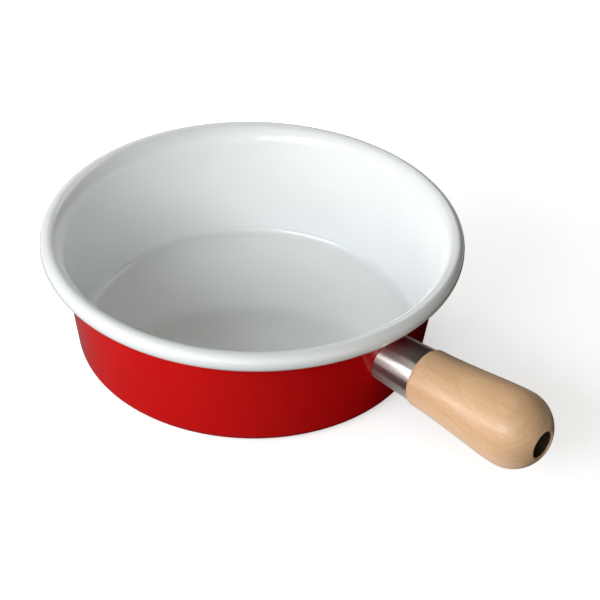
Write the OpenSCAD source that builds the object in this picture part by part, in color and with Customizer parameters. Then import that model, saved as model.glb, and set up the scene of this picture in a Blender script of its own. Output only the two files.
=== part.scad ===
// Low enamelled saucepan with a short turned wooden handle.
// The origin is the centre of the underside of the base, +Z is up,
// and the handle points along +X.

/* [Pan] */
// Outer diameter over the rolled rim
rim_d = 192; // [160:2:240]
// Height from the underside of the base to the top of the rim
pan_h = 59; // [52:1:90]
// Lean of the wall out from the vertical, in degrees
wall_lean = 7; // [4:0.5:10]
// Outer radius of the corner between the base and the wall
corner_r = 6; // [4:0.5:9]

/* [Sheet and enamel] */
// Thickness of the steel sheet
steel_t = 0.7; // [0.5:0.05:0.9]
// Thickness of the enamel on each side
coat_t = 0.25; // [0.15:0.05:0.35]

/* [Rolled rim] */
// Radius of the roll, over the enamel
roll_r = 3.8; // [2.8:0.1:4]
// Straight side between the upper and the lower bend of the roll
roll_side = 0.6; // [0.4:0.1:3]
// Radius of the flare that carries the wall out to the roll
flare_r = 13; // [10:0.5:18]

/* [Handle] */
// Tilt of the handle above the horizontal, in degrees
handle_tilt = 1; // [0:0.5:6]
// Length of the wood that shows, from the ferrule to the end
handle_l = 64; // [55:0.5:110]
// Largest diameter, near the end
grip_d = 33.9; // [30:0.1:38]
// Diameter at the ferrule
neck_d = 26.6; // [26:0.1:29]
// Length of the rounded end
dome_l = 16.5; // [12:0.5:20]
// Length of the soft edge at the ferrule
edge_l = 2; // [1:0.1:4]
// Diameter of the hole in the end
hole_d = 12; // [11:0.2:14]
// Depth of the hole in the end
hole_depth = 18; // [12:0.5:24]
// Radius of the rounded mouth of the hole
mouth_r = 0.8; // [0.4:0.1:1.5]

/* [Ferrule] */
// Clear height between the rolled rim and the ferrule, at the wall
rim_gap = 6.9; // [5:0.1:9]
// Length along the handle from the wall to the wood
ferrule_l = 19.8; // [17:0.2:26]
// Outer diameter at the wall
ferrule_wall_d = 22.8; // [22:0.1:24]
// Outer diameter at the wood
ferrule_wood_d = 24.8; // [24:0.1:25.2]
// Thickness of the ferrule's sheet
ferrule_t = 0.6; // [0.4:0.05:0.8]
// Clearance between the ferrule and the wood inside it
spigot_gap = 0.15; // [0.1:0.05:0.3]

/* [Bracket] */
// Outer diameter of the pressed cup
cup_d = 16.5; // [15:0.1:17.5]
// Length of the cup from the wall
cup_l = 11; // [10:0.1:13]
// Thickness of the cup's sheet
cup_t = 1.2; // [1:0.1:1.5]
// Diameter of the flange that is welded to the wall
flange_d = 20.2; // [19:0.1:20.4]

/* [Screw and washers] */
// Diameter of the screw
screw_d = 5; // [4:0.1:5.4]
// Clearance around the screw in the wood and the cup, on the radius
screw_gap = 0.3; // [0.1:0.05:0.5]
// Diameter of the screw's head
head_d = 9.6; // [9:0.1:10.4]
// Height of the screw's head
head_h = 3.4; // [2.5:0.1:4]
// Width of each arm of the cross in the head
cross_w = 1.3; // [0.8:0.1:1.6]
// Width of the nut across its flats
nut_af = 8; // [7.4:0.1:9]
// Height of the nut
nut_h = 4; // [3:0.1:4.5]
// How far the screw passes the nut
screw_out = 2; // [1:0.1:2.5]
// Diameter of the flat washer
washer_d = 10.4; // [9.8:0.1:10.8]
// Thickness of the flat washer
washer_t = 1; // [0.8:0.1:1.4]
// Diameter of the spring washer
spring_d = 9; // [8.2:0.1:9.4]
// Thickness of the spring washer
spring_t = 1.2; // [0.8:0.1:1.6]
// Width of the split in the spring washer
split_w = 0.8; // [0.4:0.1:1.2]

/* [Hidden] */
// Length by which a cut runs past what it cuts
over = 1;
// Bevel on the end of the screw, and on the wood's spigot
end_bevel = 0.6;
// Steps along each bend of the pan's section
corner_steps = 6;
flare_steps = 6;
roll_steps = 8;
// The red enamel stops this many steps up the flare, under the roll
red_steps = 4;
// Direction in which the flare meets the roll, from the horizontal
roll_start = 135;
// Where the rolled edge ends, close under the wall
roll_end = -160;
// The flank's two control points, as shares of its length and of its swelling
flank_shares = [[0.35, 0.12], [0.8, 1]];
flank_steps = 14;
dome_steps = 14;
edge_steps = 6;
// Depth of the cross as a share of the head's height
cross_share = 0.6;
// Height of the head's straight side as a share of its height
head_side_share = 0.45;
$fn = 96;

// Thickness of sheet and both coats together
wall_t = steel_t + 2 * coat_t;
rim_r = rim_d / 2;
// Unit vector from the flare's centre to the roll's centre
roll_dir = [cos(roll_start), sin(roll_start)];
// Centres of the bends in the half section, as [radius, height]
roll_c = [rim_r - roll_r, pan_h - roll_r];
low_c = roll_c - [0, roll_side];
flare_c = roll_c - (flare_r + wall_t - roll_r) * roll_dir;
// The wall is tangent to the flare, and the corner is tangent to the wall
base_r = flare_c.x - (flare_r + flare_c.y * sin(wall_lean)) / cos(wall_lean);
corner_c = [
    base_r + corner_r * (1 - sin(wall_lean)) * tan(wall_lean) - corner_r * cos(wall_lean),
    corner_r
];

// Stations along the handle's axis, from the wall
shoulder_s = ferrule_l;
tip_s = ferrule_l + handle_l;
seat_s = tip_s - hole_depth;
nut_s = cup_l - cup_t - nut_h;
head_s = seat_s + washer_t + spring_t;
// Height of the handle's axis where it meets the wall
roll_h = 2 * roll_r + roll_side;
root_z = pan_h - roll_h - rim_gap - ferrule_wall_d / 2;

// Points on an arc of an ellipse, from angle a0 to a1, leaving out the first ones
function arc(c, rx, ry, a0, a1, steps, first = 0) = [
    for (i = [first:steps])
        let (a = a0 + (a1 - a0) * i / steps)
        [c.x + rx * cos(a), c.y + ry * sin(a)]
];

function bend(c, r, a0, a1, steps, first = 0) = arc(c, r, r, a0, a1, steps, first);

function reversed(points) = [for (i = [len(points) - 1:-1:0]) points[i]];

function bezier(p, t) =
    pow(1 - t, 3) * p[0] + 3 * pow(1 - t, 2) * t * p[1]
    + 3 * (1 - t) * t * t * p[2] + pow(t, 3) * p[3];

// Radius of the wall at a height, on a surface that stands out by a distance
function wall_r(z, out = 0) = base_r + z * tan(wall_lean) + out / cos(wall_lean);

// The line from the base's centre to the flare, a depth in from the outer skin
function lower_line(depth, steps) = concat(
    [[0, depth]],
    bend(corner_c, corner_r - depth, -90, -wall_lean, corner_steps),
    [for (i = [0:steps])
        let (a = 180 - wall_lean + (roll_start - 180 + wall_lean) * i / flare_steps)
        flare_c + (flare_r + depth) * [cos(a), sin(a)]]
);

// The same line carried on over the roll to the edge of the sheet
function full_line(depth) = concat(
    lower_line(depth, flare_steps),
    bend(roll_c, roll_r - wall_t + depth, roll_start, 0, roll_steps, 1),
    bend(low_c, roll_r - wall_t + depth, 0, roll_end, roll_steps)
);

// Radius of the ferrule's outside at a station along the handle
function ferrule_r(s) =
    (ferrule_wall_d + (ferrule_wood_d - ferrule_wall_d) * s / ferrule_l) / 2;

// Moves a piece that is built along +Z to the handle's axis, from the wall outwards
module along_handle() {
    translate([wall_r(root_z), 0, root_z])
        rotate([0, 90 - handle_tilt, 0])
            children();
}

// Everything inside the wall, with the wall's surface moved out by a distance
module inside_wall(out = 0) {
    rotate_extrude()
        polygon([
            [0, 0],
            [wall_r(0, out), 0],
            [wall_r(pan_h, out), pan_h],
            [0, pan_h]
        ]);
}

// Steel sheet pressed to a pan, with its edge flared and rolled outwards
module pan_shell() {
    color("dimgray")
        rotate_extrude()
            polygon(concat(full_line(coat_t), reversed(full_line(coat_t + steel_t))));
}

// White coat on the inside, over the rim and round to the sheet's edge
module white_enamel() {
    color("white")
        rotate_extrude()
            polygon(concat(full_line(coat_t + steel_t), reversed(full_line(wall_t))));
}

// Red coat on the underside and the wall, left open where the bracket is welded
module red_enamel() {
    color("crimson")
        difference() {
            rotate_extrude()
                polygon(concat(
                    lower_line(0, red_steps),
                    reversed(lower_line(coat_t, red_steps))
                ));
            along_handle()
                translate([0, 0, -flange_d / 2])
                    cylinder(d = flange_d, h = flange_d);
        }
}

// Pressed cup whose flange follows the wall, with a hole for the screw in its end
module handle_bracket() {
    color("slategray")
        difference() {
            union() {
                along_handle()
                    translate([0, 0, -cup_d / 2])
                        cylinder(d = cup_d, h = cup_l + cup_d / 2);
                intersection() {
                    along_handle()
                        translate([0, 0, -flange_d / 2])
                            cylinder(d = flange_d, h = flange_d);
                    inside_wall(cup_t - coat_t);
                }
            }
            along_handle() {
                translate([0, 0, -flange_d])
                    cylinder(d = cup_d - 2 * cup_t, h = flange_d + cup_l - cup_t);
                cylinder(r = screw_d / 2 + screw_gap, h = cup_l + over);
            }
            inside_wall(-coat_t);
        }
}

// Hexagon nut welded behind the end of the cup
module weld_nut() {
    color("darkgray")
        along_handle()
            translate([0, 0, nut_s])
                difference() {
                    cylinder(d = nut_af / cos(30), h = nut_h, $fn = 6);
                    translate([0, 0, -over])
                        cylinder(d = screw_d, h = nut_h + 2 * over);
                }
}

// Polished sleeve between the wall and the wood, cut to the wall's curve
module ferrule() {
    start = -ferrule_wall_d / 4;
    color("silver")
        difference() {
            along_handle()
                rotate_extrude()
                    polygon([
                        [ferrule_r(start) - ferrule_t, start],
                        [ferrule_r(start), start],
                        [ferrule_r(ferrule_l), ferrule_l],
                        [ferrule_r(ferrule_l) - ferrule_t, ferrule_l]
                    ]);
            inside_wall();
        }
}

// Turned handle: a spigot in the ferrule, a flank that swells towards a round
// end, a bore for the screw and a deep hole for its head
module wood_handle() {
    neck_r = neck_d / 2;
    grip_r = grip_d / 2;
    hole_r = hole_d / 2;
    bore_r = screw_d / 2 + screw_gap;
    inset = ferrule_t + spigot_gap;
    dome_s = tip_s - dome_l;
    flank_s = shoulder_s + edge_l;
    flank_l = dome_s - flank_s;
    // The flat of the shoulder covers the end of the ferrule
    flat_r = ferrule_wood_d / 2;
    flank = [
        [neck_r, flank_s],
        for (share = flank_shares)
            [neck_r + (grip_r - neck_r) * share[1], flank_s + flank_l * share[0]],
        [grip_r, dome_s]
    ];
    mouth_a = acos((hole_r + mouth_r) / grip_r);
    mouth_s = dome_s + dome_l * sin(mouth_a);
    color("burlywood")
        along_handle()
            rotate_extrude()
                polygon(concat(
                    [
                        [bore_r, cup_l],
                        [ferrule_r(cup_l) - inset - end_bevel, cup_l],
                        [ferrule_r(cup_l) - inset, cup_l + end_bevel],
                        [ferrule_r(ferrule_l) - inset, shoulder_s]
                    ],
                    arc([flat_r, flank_s], neck_r - flat_r, edge_l, -90, 0, edge_steps),
                    [for (i = [1:flank_steps]) bezier(flank, i / flank_steps)],
                    arc([0, dome_s], grip_r, dome_l, 0, mouth_a, dome_steps, 1),
                    bend([hole_r + mouth_r, mouth_s - mouth_r], mouth_r, 90, 180, edge_steps, 1),
                    [[hole_r, seat_s], [bore_r, seat_s]]
                ));
}

// Long screw with a low round head and a cross recess
module tie_screw() {
    screw_r = screw_d / 2;
    head_r = head_d / 2;
    tip = nut_s - screw_out;
    side_h = head_h * head_side_share;
    color("gainsboro")
        along_handle()
            difference() {
                rotate_extrude()
                    polygon(concat(
                        [
                            [0, tip],
                            [screw_r - end_bevel, tip],
                            [screw_r, tip + end_bevel],
                            [screw_r, head_s],
                            [head_r, head_s]
                        ],
                        arc([0, head_s + side_h], head_r, head_h - side_h, 0, 90, edge_steps)
                    ));
                for (turn = [0, 90])
                    rotate([0, 0, turn])
                        translate([
                            -head_r * cross_share,
                            -cross_w / 2,
                            head_s + head_h * (1 - cross_share)
                        ])
                            cube([head_d * cross_share, cross_w, head_h]);
            }
}

// Flat washer at the bottom of the hole in the wood
module plain_washer() {
    color("lightgray")
        along_handle()
            translate([0, 0, seat_s])
                difference() {
                    cylinder(d = washer_d, h = washer_t);
                    translate([0, 0, -over])
                        cylinder(r = screw_d / 2 + screw_gap, h = washer_t + 2 * over);
                }
}

// Split ring, drawn flat as it is when the screw is tight
module spring_washer() {
    color("gray")
        along_handle()
            translate([0, 0, seat_s + washer_t])
                difference() {
                    cylinder(d = spring_d, h = spring_t);
                    translate([0, 0, -over]) {
                        cylinder(r = screw_d / 2 + screw_gap, h = spring_t + 2 * over);
                        translate([0, -split_w / 2, 0])
                            cube([spring_d, split_w, spring_t + 2 * over]);
                    }
                }
}

pan_shell();
white_enamel();
red_enamel();
handle_bracket();
weld_nut();
ferrule();
wood_handle();
tie_screw();
plain_washer();
spring_washer();
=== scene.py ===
from math import acos, cos, pi, radians, sin, sqrt, tan

import bpy
from mathutils import Matrix, Vector


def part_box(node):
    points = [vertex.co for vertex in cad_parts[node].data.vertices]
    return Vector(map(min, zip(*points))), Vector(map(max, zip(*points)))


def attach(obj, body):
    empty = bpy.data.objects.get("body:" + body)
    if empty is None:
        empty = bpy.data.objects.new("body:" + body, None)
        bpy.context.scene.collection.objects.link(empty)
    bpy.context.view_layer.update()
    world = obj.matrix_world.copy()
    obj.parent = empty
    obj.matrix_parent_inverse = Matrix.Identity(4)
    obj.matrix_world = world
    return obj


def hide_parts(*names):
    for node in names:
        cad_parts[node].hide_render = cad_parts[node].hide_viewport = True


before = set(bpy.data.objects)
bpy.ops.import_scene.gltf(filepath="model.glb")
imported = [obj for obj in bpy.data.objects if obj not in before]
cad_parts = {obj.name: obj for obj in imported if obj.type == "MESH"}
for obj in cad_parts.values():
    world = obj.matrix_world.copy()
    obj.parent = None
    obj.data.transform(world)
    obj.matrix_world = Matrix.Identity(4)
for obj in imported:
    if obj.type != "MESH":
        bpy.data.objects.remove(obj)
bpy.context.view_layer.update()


# Pan shell
# One disc of sheet steel, pressed to a low round pan, with its edge flared and rolled
# outwards. The enamel hides it, and only the inside of the roll shows it, dark from the kiln.
MM = 0.001
sheet_t = 0.7 * MM
coat_t = 0.25 * MM
scale_patch = 7 * MM
scale_depth = 0.02 * MM
kiln_grey_hex = "3C3E42"
kiln_brown_hex = "54504B"
scale_metallic = 0.7
scale_rough = 0.55


def linear(srgb_hex):
    """The shader's colour for an sRGB hex value."""
    parts = [int(srgb_hex[i:i + 2], 16) / 255 for i in (0, 2, 4)]
    return [c / 12.92 if c <= 0.04045 else ((c + 0.055) / 1.055) ** 2.4 for c in parts] + [1]


def new_material(name):
    """A material whose tree is empty, and its tree."""
    material = bpy.data.materials.new(name)
    material.use_nodes = True
    material.node_tree.nodes.clear()
    return material, material.node_tree


def add(tree, kind, settings, links=None):
    """Adds a node. A setting is the node's own or an input's value, and a link feeds an input."""
    node = tree.nodes.new(kind)
    for key, value in settings.items():
        if isinstance(key, str) and hasattr(node, key):
            setattr(node, key, value)
        else:
            node.inputs[key].default_value = value
    for key, source in (links or {}).items():
        tree.links.new(source, node.inputs[key])
    return node


# Sheet steel after firing: a dull scale with brown patches, half metal to the eye
fired_steel, tree = new_material("fired_sheet_steel")
place = add(tree, "ShaderNodeTexCoord", {}).outputs["Object"]
patches = add(tree, "ShaderNodeTexNoise", {"Scale": 1 / scale_patch, "Detail": 4}, {"Vector": place})
tint = add(
    tree, "ShaderNodeMix",
    {"data_type": "RGBA", 6: linear(kiln_grey_hex), 7: linear(kiln_brown_hex)},
    {0: patches.outputs["Fac"]})
grain = add(
    tree, "ShaderNodeBump", {"Distance": scale_depth}, {"Height": patches.outputs["Fac"]})
shader = add(
    tree, "ShaderNodeBsdfPrincipled", {"Metallic": scale_metallic, "Roughness": scale_rough},
    {"Base Color": tint.outputs[2], "Normal": grain.outputs["Normal"]})
add(tree, "ShaderNodeOutputMaterial", {}, {"Surface": shader.outputs["BSDF"]})
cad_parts["pan_shell"].material_slots[0].material = fired_steel


# White enamel
# A glassy white coat, fired on the inside of the pan, over the rolled rim and round to the
# sheet's edge. It is thin, very smooth and a little wavy, because it flows in the kiln.
rim_r = -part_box("white_enamel")[0].x
pan_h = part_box("white_enamel")[1].z
wall_lean = radians(7)
corner_r = 6 * MM
flare_r = 13 * MM
roll_r = 3.8 * MM
roll_side = 0.6 * MM
roll_start = radians(135)
roll_end = radians(-160)
pan_steps = 256
bend_steps = 20
white_hex = "F6F8F8"
white_shade_hex = "F2F4F3"
thin_patch = 28 * MM
orange_peel = 9 * MM
orange_peel_depth = 0.02 * MM
white_rough = (0.06, 0.12)
white_ior = 1.52
# A bend sharper than this shows as an edge
edge_angle = radians(35)

wall_t = sheet_t + 2 * coat_t
# The bends of the pan's half section, as radius and height
roll_c = Vector((rim_r - roll_r, pan_h - roll_r))
low_c = roll_c - Vector((0, roll_side))
flare_c = roll_c - (flare_r + wall_t - roll_r) * Vector((cos(roll_start), sin(roll_start)))
base_r = flare_c.x - (flare_r + flare_c.y * sin(wall_lean)) / cos(wall_lean)
corner_c = Vector((
    base_r + corner_r * (1 - sin(wall_lean)) * tan(wall_lean) - corner_r * cos(wall_lean),
    corner_r))


def arc(centre, rx, ry, start, end, steps, first=0):
    """Points on an arc of an ellipse, leaving out the first ones."""
    angles = [start + (end - start) * i / steps for i in range(first, steps + 1)]
    return [Vector((centre[0] + rx * cos(a), centre[1] + ry * sin(a))) for a in angles]


def lower_line(depth, share=1):
    """From the middle of the base up to the roll, or part of the way up the flare."""
    turn = roll_start - pi + wall_lean
    radius = flare_r + depth
    return (
        [Vector((0, depth))]
        + arc(corner_c, corner_r - depth, corner_r - depth, -pi / 2, -wall_lean, bend_steps)
        + arc(flare_c, radius, radius, pi - wall_lean, pi - wall_lean + share * turn, bend_steps))


def full_line(depth):
    """The whole section at a depth from the red side, on over the roll to the sheet's edge."""
    radius = roll_r - wall_t + depth
    return (
        lower_line(depth)
        + arc(roll_c, radius, radius, roll_start, 0, bend_steps, 1)
        + arc(low_c, radius, radius, 0, roll_end, bend_steps))


def shape(name, points, faces, *materials):
    """A mesh object in the scene, from its points and faces."""
    mesh = bpy.data.meshes.new(name)
    mesh.from_pydata(points, [], faces)
    for material in materials:
        mesh.materials.append(material)
    made = bpy.data.objects.new(name, mesh)
    bpy.context.scene.collection.objects.link(made)
    return made


def piece(name, points, faces, material, slot, node):
    """A piece in place of a CAD node, smooth but for its real edges."""
    made = shape(name, points, faces, material)
    made.data.shade_smooth()
    made.data.set_sharp_from_angle(angle=edge_angle)
    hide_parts(node)
    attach(made, "root")
    return made


def circle(radius, height, steps):
    """Points on a level circle round the z axis."""
    angles = [2 * pi * i / steps for i in range(steps)]
    return [Vector((radius * cos(a), radius * sin(a), height)) for a in angles]


def turned(outline, steps):
    """Points and faces of a closed outline of radius and height, turned round the z axis."""
    points, rings, faces = [], [], []
    for radius, height in outline:
        if radius == 0:
            rings.append([len(points)] * steps)
            points.append(Vector((0, 0, height)))
            continue
        rings.append(range(len(points), len(points) + steps))
        points += circle(radius, height, steps)
    for ring, after in zip(rings, rings[1:] + rings[:1]):
        for i in range(steps):
            j = (i + 1) % steps
            face = list(dict.fromkeys([ring[i], ring[j], after[j], after[i]]))
            if len(face) > 2:
                faces.append(face)
    return points, faces


# White vitreous enamel, fired and glossy: clean reflections that swim a little
white_glaze, tree = new_material("white_vitreous_enamel")
place = add(tree, "ShaderNodeTexCoord", {}).outputs["Object"]
clouds = add(tree, "ShaderNodeTexNoise", {"Scale": 1 / thin_patch, "Detail": 2}, {"Vector": place})
tint = add(
    tree, "ShaderNodeMix",
    {"data_type": "RGBA", 6: linear(white_hex), 7: linear(white_shade_hex)},
    {0: clouds.outputs["Fac"]})
peel = add(tree, "ShaderNodeTexNoise", {"Scale": 1 / orange_peel, "Detail": 1}, {"Vector": place})
swim = add(
    tree, "ShaderNodeBump", {"Distance": orange_peel_depth}, {"Height": peel.outputs["Fac"]})
gloss = add(
    tree, "ShaderNodeMapRange", {"To Min": white_rough[0], "To Max": white_rough[1]},
    {"Value": clouds.outputs["Fac"]})
shader = add(
    tree, "ShaderNodeBsdfPrincipled", {"IOR": white_ior},
    {
        "Base Color": tint.outputs[2], "Roughness": gloss.outputs["Result"],
        "Normal": swim.outputs["Normal"]
    })
add(tree, "ShaderNodeOutputMaterial", {}, {"Surface": shader.outputs["BSDF"]})

white_outline = full_line(wall_t) + full_line(coat_t + sheet_t)[::-1]
inner_coat = piece(
    "white_enamel_coat", *turned(white_outline, pan_steps), white_glaze, "white_enamel",
    "white_enamel")


# Red enamel
# The same glass in red on the underside and the wall, up under the roll. A round patch of
# the wall stays bare inside the ferrule, where the handle's bracket is welded to the steel.
red_hex = "DE1110"
red_deep_hex = "D20D0E"
red_rough = (0.07, 0.14)
red_ior = 1.5
red_specular = 0.22
# The red ends under the roll, at this share of the flare
red_share = 4 / 6
handle_tilt = radians(1)
root_z = 32.5 * MM
bare_d = 20.2 * MM
cutter_steps = 64


def wall_r(height, out=0):
    """Radius of the outside of the wall, or of a surface that stands out from it."""
    return base_r + height * tan(wall_lean) + out / cos(wall_lean)


# Moves what is built along +z to the handle's axis, from the wall outwards
along_handle = (
    Matrix.Translation((wall_r(root_z), 0, root_z)) @ Matrix.Rotation(pi / 2 - handle_tilt, 4, "Y"))

# Red vitreous enamel, glossy like the white, with a colour that is deeper where it is thick
red_glaze, tree = new_material("red_vitreous_enamel")
place = add(tree, "ShaderNodeTexCoord", {}).outputs["Object"]
clouds = add(tree, "ShaderNodeTexNoise", {"Scale": 1 / thin_patch, "Detail": 2}, {"Vector": place})
tint = add(
    tree, "ShaderNodeMix",
    {"data_type": "RGBA", 6: linear(red_hex), 7: linear(red_deep_hex)},
    {0: clouds.outputs["Fac"]})
peel = add(tree, "ShaderNodeTexNoise", {"Scale": 1 / orange_peel, "Detail": 1}, {"Vector": place})
swim = add(
    tree, "ShaderNodeBump", {"Distance": orange_peel_depth}, {"Height": peel.outputs["Fac"]})
gloss = add(
    tree, "ShaderNodeMapRange", {"To Min": red_rough[0], "To Max": red_rough[1]},
    {"Value": clouds.outputs["Fac"]})
shader = add(
    tree, "ShaderNodeBsdfPrincipled", {"IOR": red_ior, "Specular IOR Level": red_specular},
    {
        "Base Color": tint.outputs[2], "Roughness": gloss.outputs["Result"],
        "Normal": swim.outputs["Normal"]
    })
add(tree, "ShaderNodeOutputMaterial", {}, {"Surface": shader.outputs["BSDF"]})

red_outline = lower_line(0, red_share) + lower_line(coat_t, red_share)[::-1]
red_coat = piece(
    "red_enamel_coat", *turned(red_outline, pan_steps), red_glaze, "red_enamel", "red_enamel")

# The bare patch is cut out of the coat
bare_r = bare_d / 2
cutter_line = [(0, -bare_r), (bare_r, -bare_r), (bare_r, bare_r), (0, bare_r)]
cutter = shape("cutter", *turned(cutter_line, cutter_steps))
cutter.matrix_world = along_handle
cut = red_coat.modifiers.new("bare_patch", "BOOLEAN")
cut.object = cutter
cut.solver = "EXACT"
bpy.context.view_layer.update()
cut_coat = red_coat.evaluated_get(bpy.context.evaluated_depsgraph_get())
red_coat.data = bpy.data.meshes.new_from_object(cut_coat)
red_coat.modifiers.clear()
bpy.data.objects.remove(cutter)


# Handle bracket and its nut
# A small pressed steel cup, spot-welded to the wall by its flange, with a hexagon nut
# welded inside. Both are hidden in the ferrule, and stay as they come from the press.
press_line = 1.5 * MM
press_depth = 0.01 * MM
bracket_hex = "8A8C90"
bracket_rough = (0.35, 0.5)
zinc_hex = "C4C6C8"
zinc_rough = (0.18, 0.38)

# Cold-rolled sheet from the press: grey and even, with faint drawn lines
pressed_steel, tree = new_material("pressed_sheet_steel")
place = add(tree, "ShaderNodeTexCoord", {}).outputs["Object"]
lines = add(tree, "ShaderNodeTexNoise", {"Scale": 1 / press_line, "Detail": 3}, {"Vector": place})
relief = add(
    tree, "ShaderNodeBump", {"Distance": press_depth}, {"Height": lines.outputs["Fac"]})
dull = add(
    tree, "ShaderNodeMapRange", {"To Min": bracket_rough[0], "To Max": bracket_rough[1]},
    {"Value": lines.outputs["Fac"]})
shader = add(
    tree, "ShaderNodeBsdfPrincipled", {"Metallic": 1, "Base Color": linear(bracket_hex)},
    {"Roughness": dull.outputs["Result"], "Normal": relief.outputs["Normal"]})
add(tree, "ShaderNodeOutputMaterial", {}, {"Surface": shader.outputs["BSDF"]})
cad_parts["handle_bracket"].material_slots[0].material = pressed_steel

# Bright zinc plate: a pale metal with a cloudy, half-dull sheen, on the nut here and on the
# screw and the washers in the handle
zinc_plate, tree = new_material("bright_zinc_plate")
place = add(tree, "ShaderNodeTexCoord", {}).outputs["Object"]
bloom = add(tree, "ShaderNodeTexNoise", {"Scale": 1 / press_line, "Detail": 4}, {"Vector": place})
dull = add(
    tree, "ShaderNodeMapRange", {"To Min": zinc_rough[0], "To Max": zinc_rough[1]},
    {"Value": bloom.outputs["Fac"]})
relief = add(
    tree, "ShaderNodeBump", {"Distance": press_depth}, {"Height": bloom.outputs["Fac"]})
shader = add(
    tree, "ShaderNodeBsdfPrincipled", {"Metallic": 1, "Base Color": linear(zinc_hex)},
    {"Roughness": dull.outputs["Result"], "Normal": relief.outputs["Normal"]})
add(tree, "ShaderNodeOutputMaterial", {}, {"Surface": shader.outputs["BSDF"]})
for name in ("weld_nut", "tie_screw", "plain_washer", "spring_washer"):
    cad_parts[name].material_slots[0].material = zinc_plate


# Ferrule
# A sleeve of stainless sheet, a little wider at the wood, polished on a lathe and cut to the
# curve of the wall. The screw clamps it between the wood's shoulder and the wall.
ferrule_l = 19.8 * MM
ferrule_wall_d = 22.8 * MM
ferrule_wood_d = 24.8 * MM
ferrule_t = 0.6 * MM
ferrule_edge = 0.25 * MM
ferrule_steps = 160
ferrule_rings = 16
# Rounds of the search for the place where the ferrule's side meets the wall
search_rounds = 12
stainless_hex = "D0CCC8"
stainless_rough = (0.3, 0.38)
smear = 5 * MM
polish_wave = 8 * MM
polish_depth = 0.01 * MM


def ferrule_r(station):
    """Radius of the ferrule's outside at a distance along the handle."""
    return (ferrule_wall_d + (ferrule_wood_d - ferrule_wall_d) * station / ferrule_l) / 2


def at_wall(angle, inset):
    """How far along the handle the ferrule's side meets the wall, at an angle round it."""
    station = 0
    for _ in range(search_rounds):
        radius = ferrule_r(station) - inset
        spot = along_handle @ Vector((radius * cos(angle), radius * sin(angle), station))
        station -= sqrt(spot.x ** 2 + spot.y ** 2) - wall_r(spot.z)
    return station


# Stainless steel, polished on a lathe: turned lines too fine to see draw each light out to a
# stripe along the sleeve
turned_steel, tree = new_material("lathe_polished_stainless")
place = add(tree, "ShaderNodeTexCoord", {}).outputs["Object"]
smears = add(tree, "ShaderNodeTexNoise", {"Scale": 1 / smear, "Detail": 3}, {"Vector": place})
gloss = add(
    tree, "ShaderNodeMapRange", {"To Min": stainless_rough[0], "To Max": stainless_rough[1]},
    {"Value": smears.outputs["Fac"]})
waves = add(tree, "ShaderNodeTexNoise", {"Scale": 1 / polish_wave, "Detail": 1}, {"Vector": place})
relief = add(
    tree, "ShaderNodeBump", {"Distance": polish_depth}, {"Height": waves.outputs["Fac"]})
round_axis = add(tree, "ShaderNodeTangent", {"direction_type": "RADIAL", "axis": "X"})
shader = add(
    tree, "ShaderNodeBsdfPrincipled",
    {
        "Metallic": 1, "Base Color": linear(stainless_hex), "Anisotropic": 1,
        "Anisotropic Rotation": 0.25
    },
    {
        "Roughness": gloss.outputs["Result"], "Normal": relief.outputs["Normal"],
        "Tangent": round_axis.outputs["Tangent"]
    })
add(tree, "ShaderNodeOutputMaterial", {}, {"Surface": shader.outputs["BSDF"]})

points, faces = [], []
# Rings run from the wall to the wood on the outside, and back on the inside
ring_places = [(0, ferrule_edge), (0, 0)]
ring_places += [(i / ferrule_rings, 0) for i in range(1, ferrule_rings + 1)]
ring_places += [(1 - i / ferrule_rings, ferrule_t) for i in range(ferrule_rings + 1)]
for share, inset in ring_places:
    for i in range(ferrule_steps):
        angle = 2 * pi * i / ferrule_steps
        start = at_wall(angle, inset)
        if (share, inset) == (0, 0):
            start += ferrule_edge
        station = start + (ferrule_l - start) * share
        radius = ferrule_r(station) - inset
        points.append(along_handle @ Vector((radius * cos(angle), radius * sin(angle), station)))
for ring in range(len(ring_places)):
    after = (ring + 1) % len(ring_places)
    for i in range(ferrule_steps):
        j = (i + 1) % ferrule_steps
        faces.append([
            ring * ferrule_steps + i, ring * ferrule_steps + j,
            after * ferrule_steps + j, after * ferrule_steps + i])
sleeve = piece("polished_ferrule", points, faces, turned_steel, "polished_ferrule", "ferrule")


# Wooden handle
# Beech, turned on a lathe and lacquered to a satin. A spigot fills the ferrule, the flank
# swells to a round end, and the hole in the end takes the long screw that holds it all.
handle_l = 64 * MM
grip_r = 33.9 * MM / 2
neck_r = 26.6 * MM / 2
dome_l = 16.5 * MM
shoulder_edge = 2 * MM
hole_r = 12 * MM / 2
hole_depth = 18 * MM
mouth_r = 0.8 * MM
bore_r = 2.8 * MM
spigot_start = 11 * MM
spigot_gap = 0.15 * MM
spigot_bevel = 0.6 * MM
# The flank's control points, as shares of its length and of its swelling
flank_shares = [(0.35, 0.12), (0.8, 1)]
wood_steps = 192
flank_steps = 40
dome_steps = 40
ring_spacing = 2.6 * MM
pith_y = 14 * MM
pith_below = 34 * MM
fibre_l = 26 * MM
fibre_w = 1.1 * MM
fleck_l = 2.6 * MM
fleck_w = 0.55 * MM
pore_depth = 0.015 * MM
wood_ior = 1.5
satin_rough = (0.34, 0.46)
# How much the year rings count beside the fibres, and how dark the flecks are
ring_share = 0.28
fleck_share = 0.4
beech_hex = "EDC59C"
latewood_hex = "E2B689"
fleck_hex = "B18458"
# Painted shade for the hole in the end: near-black browns in place of its shadow
hole_shade_hex = "3A2617"
hole_deep_shade_hex = "1C120B"
drilled_rough = 0.8

tip = ferrule_l + handle_l
dome_start = tip - dome_l
flank_start = ferrule_l + shoulder_edge
inset = ferrule_t + spigot_gap


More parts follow.
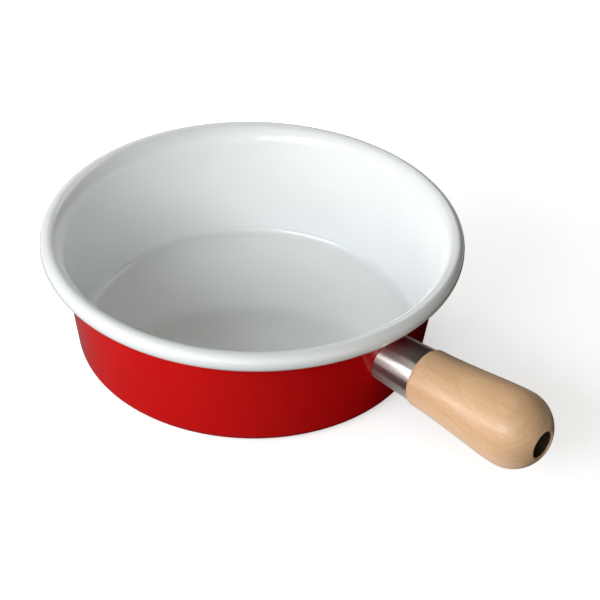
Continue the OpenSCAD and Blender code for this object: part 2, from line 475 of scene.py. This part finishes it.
def flank_point(t):
    """A point on the flank, as radius and distance along the handle."""
    shares = [(0, 0)] + flank_shares + [(1, 1)]
    weights = [(1 - t) ** 3, 3 * (1 - t) ** 2 * t, 3 * (1 - t) * t * t, t ** 3]
    along = sum(w * share[0] for w, share in zip(weights, shares))
    swell = sum(w * share[1] for w, share in zip(weights, shares))
    return Vector((
        neck_r + (grip_r - neck_r) * swell, flank_start + (dome_start - flank_start) * along))


# Turned beech, satin-lacquered: pale pinkish brown, faint year rings and short dark flecks
beech, tree = new_material("satin_lacquered_beech")
place = add(tree, "ShaderNodeTexCoord", {}).outputs["Object"]
from_pith = add(
    tree, "ShaderNodeMapping", {"Location": (0, -pith_y, pith_below - root_z)}, {"Vector": place})
# The wave texture turns 20 radians for each unit of its scaled distance
rings = add(
    tree, "ShaderNodeTexWave",
    {
        "wave_type": "RINGS", "rings_direction": "X", "wave_profile": "SAW",
        "Scale": 2 * pi / 20 / ring_spacing, "Distortion": 2.2, "Detail": 2, "Detail Scale": 0.35
    },
    {"Vector": from_pith.outputs["Vector"]})
along_grain = add(
    tree, "ShaderNodeMapping", {"Scale": (1 / fibre_l, 1 / fibre_w, 1 / fibre_w)}, {"Vector": place})
fibres = add(
    tree, "ShaderNodeTexNoise", {"Scale": 1, "Detail": 4}, {"Vector": along_grain.outputs["Vector"]})
ring_tint = add(
    tree, "ShaderNodeMath", {"operation": "MULTIPLY", 1: ring_share}, {0: rings.outputs["Fac"]})
fibre_tint = add(
    tree, "ShaderNodeMath", {"operation": "MULTIPLY_ADD", 1: 1}, {
        0: fibres.outputs["Fac"], 2: ring_tint.outputs[0]})
figure = add(
    tree, "ShaderNodeMapRange", {"From Min": 0.3, "From Max": 0.95},
    {"Value": fibre_tint.outputs[0]})
wood_tint = add(
    tree, "ShaderNodeMix",
    {"data_type": "RGBA", 6: linear(beech_hex), 7: linear(latewood_hex)},
    {0: figure.outputs["Result"]})
fleck_place = add(
    tree, "ShaderNodeMapping", {"Scale": (1 / fleck_l, 1 / fleck_w, 1 / fleck_w)}, {"Vector": place})
flecks = add(
    tree, "ShaderNodeTexVoronoi", {"Scale": 1}, {"Vector": fleck_place.outputs["Vector"]})
fleck_mask = add(
    tree, "ShaderNodeMapRange",
    {"From Min": 0.12, "From Max": 0.3, "To Min": fleck_share, "To Max": 0},
    {"Value": flecks.outputs["Distance"]})
flecked = add(
    tree, "ShaderNodeMix", {"data_type": "RGBA", 7: linear(fleck_hex)},
    {0: fleck_mask.outputs["Result"], 6: wood_tint.outputs[2]})
pores = add(
    tree, "ShaderNodeBump", {"Distance": pore_depth}, {"Height": fibres.outputs["Fac"]})
satin = add(
    tree, "ShaderNodeMapRange", {"To Min": satin_rough[0], "To Max": satin_rough[1]},
    {"Value": fibres.outputs["Fac"]})
shader = add(
    tree, "ShaderNodeBsdfPrincipled",
    {"IOR": wood_ior, "Diffuse Roughness": 0.35, "Coat Weight": 0.25, "Coat Roughness": 0.25},
    {
        "Base Color": flecked.outputs[2], "Roughness": satin.outputs["Result"],
        "Normal": pores.outputs["Normal"]
    })
add(tree, "ShaderNodeOutputMaterial", {}, {"Surface": shader.outputs["BSDF"]})

mouth_a = acos((hole_r + mouth_r) / grip_r)
mouth_c = Vector((hole_r + mouth_r, dome_start + dome_l * sin(mouth_a) - mouth_r))
flat_r = ferrule_wood_d / 2
spigot_r = ferrule_r(spigot_start) - inset
wood_outline = (
    [
        Vector((bore_r, spigot_start)),
        Vector((spigot_r - spigot_bevel, spigot_start)),
        Vector((spigot_r, spigot_start + spigot_bevel)),
        Vector((ferrule_r(ferrule_l) - inset, ferrule_l)),
    ]
    + arc((flat_r, flank_start), neck_r - flat_r, shoulder_edge, -pi / 2, 0, bend_steps)
    + [flank_point(i / flank_steps) for i in range(1, flank_steps + 1)]
    + arc((0, dome_start), grip_r, dome_l, 0, mouth_a, dome_steps, 1)
    + arc(mouth_c, mouth_r, mouth_r, pi / 2, pi, bend_steps, 1)
    + [Vector((hole_r, tip - hole_depth)), Vector((bore_r, tip - hole_depth))])
points, faces = turned(wood_outline, wood_steps)
points = [along_handle @ point for point in points]
handle = piece("beech_handle", points, faces, beech, "beech", "wood_handle")

# Bare wood in the hole in the end, with painted shade: two near-black browns in patches, so the hole
# reads as black
painted_hole_shade, tree = new_material("hole_painted_shade")
place = add(tree, "ShaderNodeTexCoord", {}).outputs["Object"]
hole_shade_patches = add(tree, "ShaderNodeTexNoise", {"Scale": 1 / fleck_l, "Detail": 3}, {"Vector": place})
tint = add(
    tree, "ShaderNodeMix",
    {"data_type": "RGBA", 6: linear(hole_shade_hex), 7: linear(hole_deep_shade_hex)}, {0: hole_shade_patches.outputs["Fac"]})
relief = add(
    tree, "ShaderNodeBump", {"Distance": pore_depth}, {"Height": hole_shade_patches.outputs["Fac"]})
shader = add(
    tree, "ShaderNodeBsdfPrincipled", {"Roughness": drilled_rough, "IOR": wood_ior},
    {"Base Color": tint.outputs[2], "Normal": relief.outputs["Normal"]})
add(tree, "ShaderNodeOutputMaterial", {}, {"Surface": shader.outputs["BSDF"]})
handle.data.materials.append(painted_hole_shade)
for face in handle.data.polygons:
    spot = along_handle.inverted() @ face.center
    if spot.xy.length < hole_r and spot.z > spigot_start:
        face.material_index = 1


# Floor and background
# A plain pale floor, which fades to white a little way out, under a white surround. Both are
# white to the eye and in reflections alone, and throw little light back on the pan.
floor_r = 4000 * MM
floor_steps = 128
fade_start = 130 * MM
fade_end = 340 * MM
floor_hex = "F8F8F7"
floor_glow = 0.55
bounce_hex = "6C6C6B"
fill_hex = "FBFAEE"
fill_level = 0.24

# Matt studio paper, which takes the pan's shadow and turns plain white further out
paper, tree = new_material("matt_paper")
place = add(tree, "ShaderNodeTexCoord", {}).outputs["Object"]
distance = add(tree, "ShaderNodeVectorMath", {"operation": "LENGTH"}, {0: place})
fade = add(
    tree, "ShaderNodeMapRange",
    {"interpolation_type": "SMOOTHSTEP", "From Min": fade_start, "From Max": fade_end},
    {"Value": distance.outputs["Value"]})
matt = add(tree, "ShaderNodeBsdfDiffuse", {"Color": linear(floor_hex)})
glow = add(tree, "ShaderNodeEmission", {"Strength": floor_glow})
lit = add(tree, "ShaderNodeAddShader", {}, {0: matt.outputs["BSDF"], 1: glow.outputs["Emission"]})
white = add(tree, "ShaderNodeEmission", {"Strength": 1})
shade = add(
    tree, "ShaderNodeMixShader", {},
    {0: fade.outputs["Result"], 1: lit.outputs["Shader"], 2: white.outputs["Emission"]})
ray = add(tree, "ShaderNodeLightPath", {})
seen = add(
    tree, "ShaderNodeMath", {"operation": "MAXIMUM"},
    {0: ray.outputs["Is Camera Ray"], 1: ray.outputs["Is Glossy Ray"]})
seen_through = add(
    tree, "ShaderNodeMath", {"operation": "MAXIMUM"},
    {0: seen.outputs[0], 1: ray.outputs["Is Transmission Ray"]})
dull = add(tree, "ShaderNodeBsdfDiffuse", {"Color": linear(bounce_hex)})
paper_shade = add(
    tree, "ShaderNodeMixShader", {},
    {0: seen_through.outputs[0], 1: dull.outputs["BSDF"], 2: shade.outputs["Shader"]})
add(tree, "ShaderNodeOutputMaterial", {}, {"Surface": paper_shade.outputs["Shader"]})

floor = shape("floor", circle(floor_r, 0, floor_steps), [list(range(floor_steps))], paper)

# White to the eye and in reflections, and a soft fill for everything else
world = bpy.data.worlds.new("white_surround")
bpy.context.scene.world = world
world.use_nodes = True
tree = world.node_tree
tree.nodes.clear()
ray = add(tree, "ShaderNodeLightPath", {})
seen = add(
    tree, "ShaderNodeMath", {"operation": "MAXIMUM"},
    {0: ray.outputs["Is Camera Ray"], 1: ray.outputs["Is Glossy Ray"]})
seen_through = add(
    tree, "ShaderNodeMath", {"operation": "MAXIMUM"},
    {0: seen.outputs[0], 1: ray.outputs["Is Transmission Ray"]})
fill = add(tree, "ShaderNodeBackground", {"Color": linear(fill_hex), "Strength": fill_level})
white = add(tree, "ShaderNodeBackground", {"Color": linear("FFFFFF"), "Strength": 1})
sky = add(
    tree, "ShaderNodeMixShader", {},
    {0: seen_through.outputs[0], 1: fill.outputs["Background"], 2: white.outputs["Background"]})
add(tree, "ShaderNodeOutputWorld", {}, {"Surface": sky.outputs["Shader"]})


# Camera
# It stands where the photograph was taken from, 0.73 m from the rim's centre, with a long
# lens that looks a little to the side of the pan.
view_az = radians(44.55)
view_el = radians(34.16)
view_far = 725.3 * MM
aim_right = radians(1.7166)
aim_up = radians(-2.5991)
roll = radians(1.0357)
# Focal length and width of the film, in the millimetres that Blender takes
lens = 96
film_w = 36

back = Vector((sin(view_az) * cos(view_el), -cos(view_az) * cos(view_el), sin(view_el)))
right = Vector((cos(view_az), sin(view_az), 0))
ahead = -back + tan(aim_right) * right + tan(aim_up) * right.cross(-back)
ahead.normalize()
side = ahead.cross(right.cross(-back)).normalized()
top = side.cross(ahead)
side, top = cos(roll) * side + sin(roll) * top, cos(roll) * top - sin(roll) * side
camera = bpy.data.objects.new("camera", bpy.data.cameras.new("camera"))
bpy.context.scene.collection.objects.link(camera)
camera.data.lens = lens
camera.data.sensor_width = film_w
camera.matrix_world = (
    Matrix.Translation(Vector((0, 0, pan_h)) + view_far * back)
    @ Matrix((side, top, -ahead)).transposed().to_4x4())
bpy.context.scene.camera = camera


# Lights
# A large soft box to the left of the camera does most of the work, and weaker panels lift
# what it leaves dark. Black velvet, felt and card give the right side its dark reflections.
cool_hex = "EFF6FF"
warm_hex = "FFFDF8"


def panel(name, azimuth, elevation, far, width, height, power, tint_hex="FFFFFF"):
    """A soft box that faces the pan. The angles are in degrees, counted from the camera's
    azimuth, the sizes in metres and the power in watts."""
    az, el = view_az + radians(azimuth), radians(elevation)
    out = Vector((sin(az) * cos(el), -cos(az) * cos(el), sin(el)))
    lamp = bpy.data.lights.new(name, "AREA")
    lamp.shape = "RECTANGLE"
    lamp.size = width
    lamp.size_y = height
    lamp.energy = power
    lamp.color = linear(tint_hex)[:3]
    made = bpy.data.objects.new(name, lamp)
    bpy.context.scene.collection.objects.link(made)
    made.matrix_world = (
        Matrix.Translation(out * far + Vector((0, 0, pan_h / 2)))
        @ out.to_track_quat("Z", "Y").to_matrix().to_4x4())
    return made


def lit_alone(name, *pieces):
    """The pieces that a lamp lights, where it leaves the others dark."""
    group = bpy.data.collections.new(name)
    for made in pieces:
        group.objects.link(made)
    return group


panel(
    "soft_box", azimuth=-43, elevation=28, far=1.1, width=0.75, height=0.35, power=6,
    tint_hex=cool_hex)
panel(
    "front_panel", azimuth=-22, elevation=20, far=1.1, width=0.8, height=0.4, power=2.5,
    tint_hex=warm_hex)
# A fill from above, which gloss doesn't show
high_panel = panel(
    "high_panel", azimuth=-10, elevation=50, far=1.1, width=0.8, height=0.5, power=0.5,
    tint_hex=warm_hex)
high_panel.visible_glossy = False
# Low and far left, for the bright stripe along the ferrule
panel("stripe_panel", azimuth=-80, elevation=12, far=1, width=0.34, height=0.3, power=2.8)
# A fill for the back of the pan, which gloss doesn't show either
rim_panel = panel(
    "rim_panel", azimuth=-165, elevation=24, far=0.5, width=0.45, height=0.15, power=1.5)
rim_panel.visible_glossy = False

# A fill for the left of the pan's inside, and a pale streak in the bend round its floor
inside_alone = lit_alone("inside_alone", inner_coat)
near_panel = panel(
    "near_panel", azimuth=20, elevation=17, far=1.1, width=0.6, height=0.3, power=0.85)
near_panel.visible_glossy = False
near_panel.light_linking.receiver_collection = inside_alone
back_panel = panel(
    "back_panel", azimuth=150, elevation=40, far=0.4, width=0.21, height=0.2, power=0.25)
back_panel.visible_camera = False
back_panel.visible_diffuse = False
back_panel.light_linking.receiver_collection = inside_alone

# A lit card on the floor under the handle, for the wood and the ferrule alone. It keeps the
# underside of both from going black.
under_x = (86 * MM, 172 * MM)
under_y = (-45 * MM, 0)
under_z = 1 * MM
under_watts = 0.008
lamp = bpy.data.lights.new("under_card", "AREA")
lamp.shape = "RECTANGLE"
lamp.size = under_x[1] - under_x[0]
lamp.size_y = under_y[1] - under_y[0]
lamp.energy = under_watts
under_card = bpy.data.objects.new("under_card", lamp)
bpy.context.scene.collection.objects.link(under_card)
under_card.location = (sum(under_x) / 2, sum(under_y) / 2, under_z)
under_card.rotation_euler.x = pi
under_card.visible_camera = False
under_card.light_linking.receiver_collection = lit_alone("handle_alone", handle, sleeve)

# A curved screen of black velvet, from right of the camera round to behind the pan. Its ends
# are in degrees from the camera's azimuth.
screen_far = 600 * MM
screen_h = 750 * MM
screen_from = 50
screen_to = 260
screen_steps = 42
velvet_hex = "0A0A0A"

# Cotton velvet, dyed black: it takes up nearly all the light that falls on it
velvet, tree = new_material("black_velvet")
matt = add(tree, "ShaderNodeBsdfDiffuse", {"Color": linear(velvet_hex)})
add(tree, "ShaderNodeOutputMaterial", {}, {"Surface": matt.outputs["BSDF"]})
screen_points, screen_faces = [], []
for i in range(screen_steps + 1):
    az = view_az + radians(screen_from + (screen_to - screen_from) * i / screen_steps)
    foot = Vector((sin(az), -cos(az), 0)) * screen_far
    screen_points += [foot, foot + Vector((0, 0, screen_h))]
for i in range(screen_steps):
    screen_faces.append([2 * i, 2 * i + 2, 2 * i + 3, 2 * i + 1])
screen = shape("screen", screen_points, screen_faces, velvet)
screen.visible_camera = False

# A felt mat round the pan's foot, there for reflections alone. Its grey side keeps the paper's
# glare off the red, and its black side draws the dark edges on the right. It turns black
# between these two angles, in degrees from the camera's azimuth.
mat_r = 260 * MM
mat_lift = 0.05 * MM
mat_steps = 72
turn_black = (-10, 40)
grey_felt_hex = "7C7C7C"
black_felt_hex = "1A1A1A"


def reflected_only(made):
    """Sets dressing that only gloss can see."""
    for kind in ("camera", "diffuse", "transmission", "volume_scatter", "shadow"):
        setattr(made, "visible_" + kind, False)


# Wool felt, dyed from grey to black round the pan. The gradient runs from 0 to 1 in one turn.
felt, tree = new_material("dyed_felt")
place = add(tree, "ShaderNodeTexCoord", {}).outputs["Object"]
round_pan = add(tree, "ShaderNodeTexGradient", {"gradient_type": "RADIAL"}, {"Vector": place})
black_from, black_to = [0.5 + angle / 360 for angle in turn_black]
darker = add(
    tree, "ShaderNodeMapRange",
    {"interpolation_type": "SMOOTHSTEP", "From Min": black_from, "From Max": black_to},
    {"Value": round_pan.outputs["Fac"]})
tint = add(
    tree, "ShaderNodeMix",
    {"data_type": "RGBA", 6: linear(grey_felt_hex), 7: linear(black_felt_hex)},
    {0: darker.outputs["Result"]})
matt = add(tree, "ShaderNodeBsdfDiffuse", {}, {"Color": tint.outputs[2]})
add(tree, "ShaderNodeOutputMaterial", {}, {"Surface": matt.outputs["BSDF"]})

mat = shape("mat", circle(mat_r, mat_lift, mat_steps), [list(range(mat_steps))], felt)
mat.rotation_euler.z = view_az - pi / 2
reflected_only(mat)

# A black card over the handle, which darkens the top of the ferrule and of the wood
card_x = (-250 * MM, 600 * MM)
card_y = (-140 * MM, 400 * MM)
card_z = 380 * MM
card_corners = [
    Vector((card_x[i], card_y[j], card_z)) for i, j in ((0, 0), (1, 0), (1, 1), (0, 1))]
card = shape("card", card_corners, [[0, 1, 2, 3]], velvet)
reflected_only(card)

bpy.context.scene.view_settings.view_transform = "Standard"
